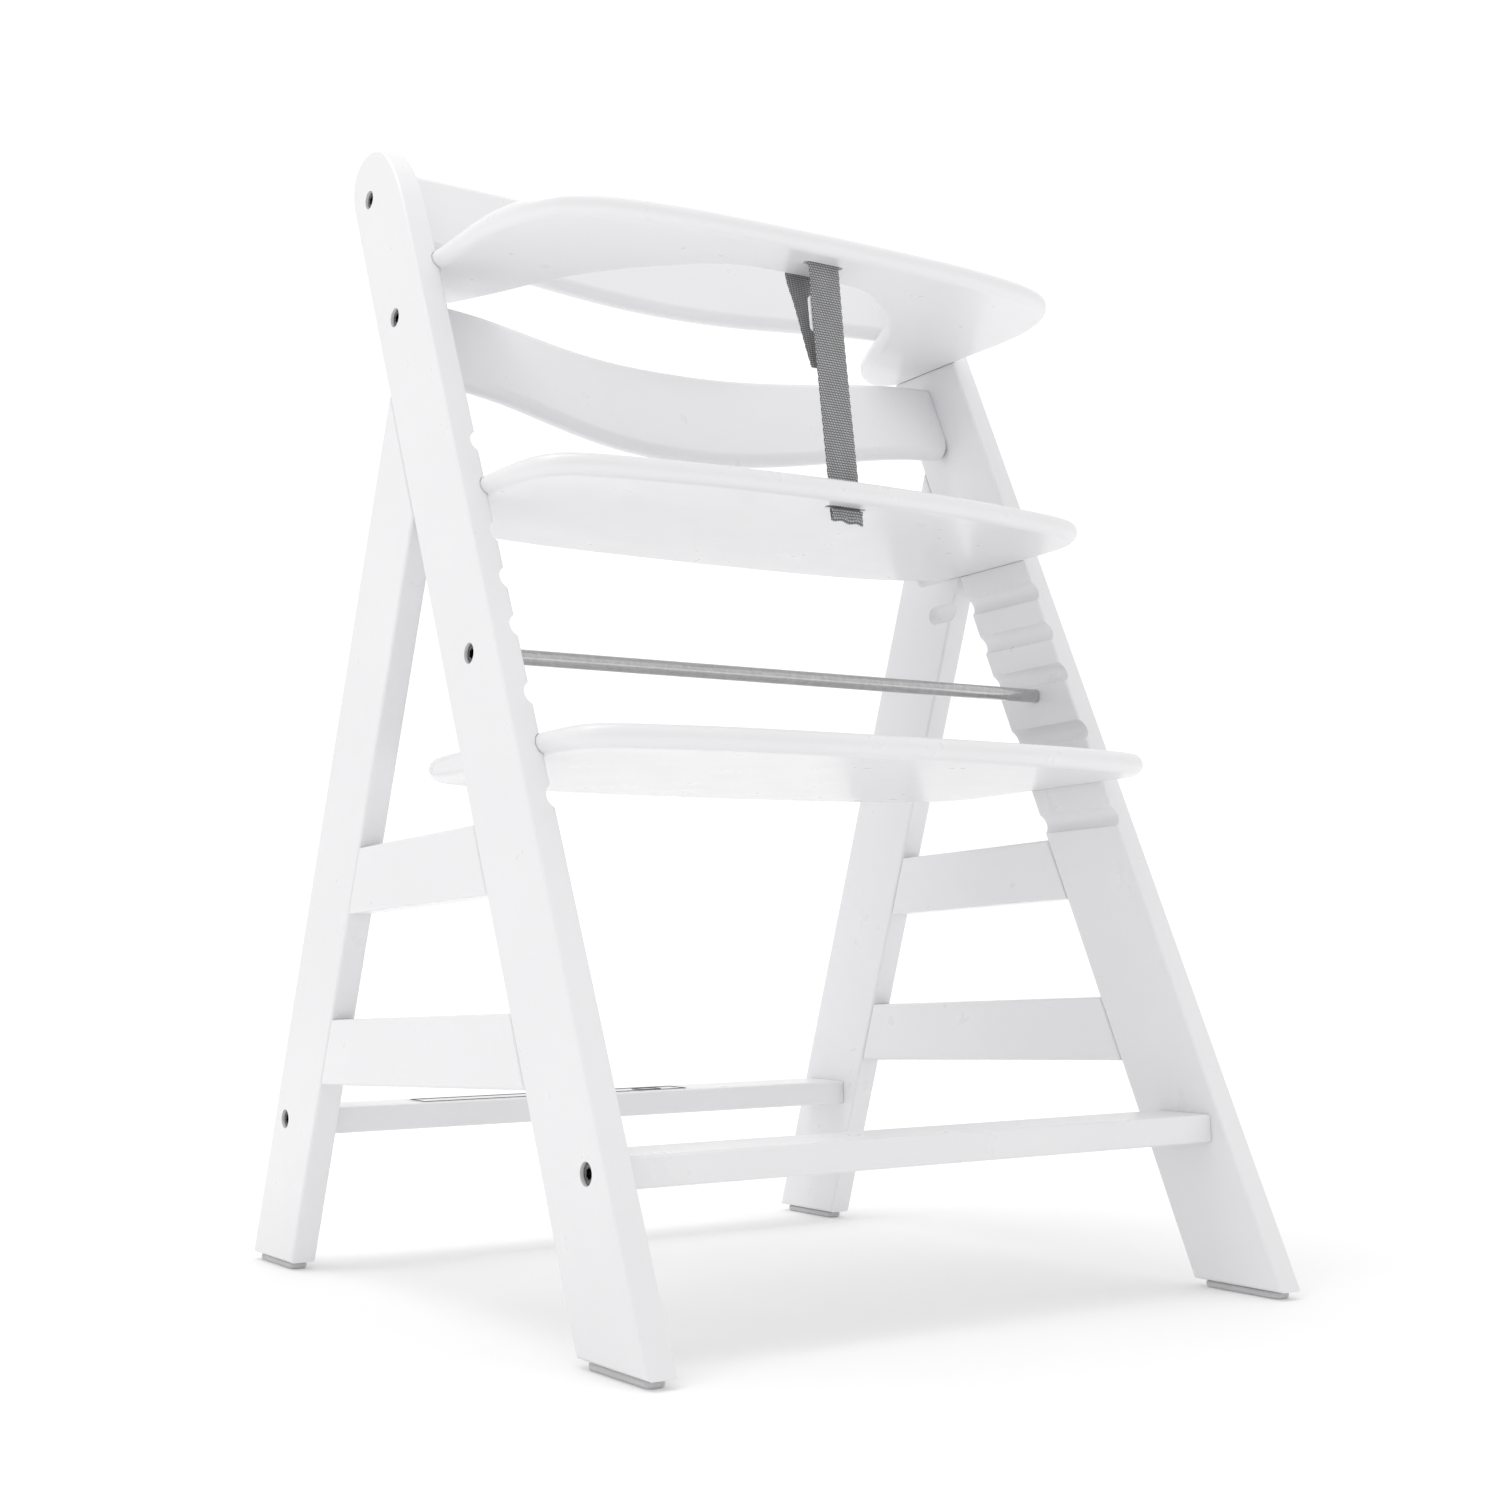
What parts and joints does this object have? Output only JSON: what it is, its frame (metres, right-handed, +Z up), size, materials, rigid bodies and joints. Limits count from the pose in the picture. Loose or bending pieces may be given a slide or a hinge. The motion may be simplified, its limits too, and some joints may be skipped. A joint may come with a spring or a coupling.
{
  "type": "baby high chair",
  "caption": "Wooden step-up high chair: leaning side frames with a ladder of grooves, sliding seat and foot boards, horseshoe tray, curved back slats, steel tie rod and crotch strap.",
  "frame": {"origin": "on the floor, under the centre of the overall box: mid width and half way between the front and back feet", "axes": "+Z up; the chair faces -Y, so a sitter looks along -Y; +X is the sitter's left-hand side and X = 0 is the plane of symmetry"},
  "size_m": [0.484, 0.56, 0.7865],
  "materials": {
    "lacquer": "satin white lacquer",
    "rod": "drawn and polished",
    "bolt": "burnished hexagon-socket head",
    "insert": "turned",
    "glide": "moulded",
    "webbing": "woven polyester webbing",
    "slider": "moulded"
  },
  "bodies": {
    "frame": {"beam_left": "lacquer", "beam_right": "lacquer", "leg_left": "lacquer", "leg_right": "lacquer", "rail_upper_left": "lacquer", "rail_upper_right": "lacquer", "rail_lower_left": "lacquer", "rail_lower_right": "lacquer", "crossbar_front": "lacquer", "crossbar_rear": "lacquer", "slat_upper": "lacquer", "slat_lower": "lacquer", "tray": "lacquer", "rod": "rod", "bolt_slat_upper_left": "bolt", "bolt_slat_upper_right": "bolt", "bolt_slat_lower_left": "bolt", "bolt_slat_lower_right": "bolt", "bolt_rod_left": "bolt", "bolt_rod_right": "bolt", "bolt_bar_front_left": "bolt", "bolt_bar_front_right": "bolt", "bolt_bar_rear_left": "bolt", "bolt_bar_rear_right": "bolt", "insert_slat_upper_left": "insert", "insert_slat_upper_right": "insert", "insert_slat_lower_left": "insert", "insert_slat_lower_right": "insert", "insert_bar_front_left": "insert", "insert_bar_front_right": "insert", "insert_bar_rear_left": "insert", "insert_bar_rear_right": "insert", "glide_front_left": "glide", "glide_front_right": "glide", "glide_rear_left": "glide", "glide_rear_right": "glide", "strap": "webbing"},
    "seat": {"seat_board": "lacquer", "strap_end": "webbing"},
    "foot": {"foot_board": "lacquer"},
    "slider": {"strap_slider": "slider"}
  },
  "joints": [
    {"name": "seat_slide", "type": "slide", "parent": "frame", "child": "seat", "axis": [0, -0.9995, 0.0314], "range_m": [-0.02, 0.04]},
    {"name": "foot_slide", "type": "slide", "parent": "frame", "child": "foot", "axis": [0, -0.9995, 0.0314], "range_m": [-0.02, 0.06]},
    {"name": "slider_slide", "type": "slide", "parent": "frame", "child": "slider", "axis": [0, -0.1248, -0.9922], "range_m": [-0.012, 0.02]}
  ]
}
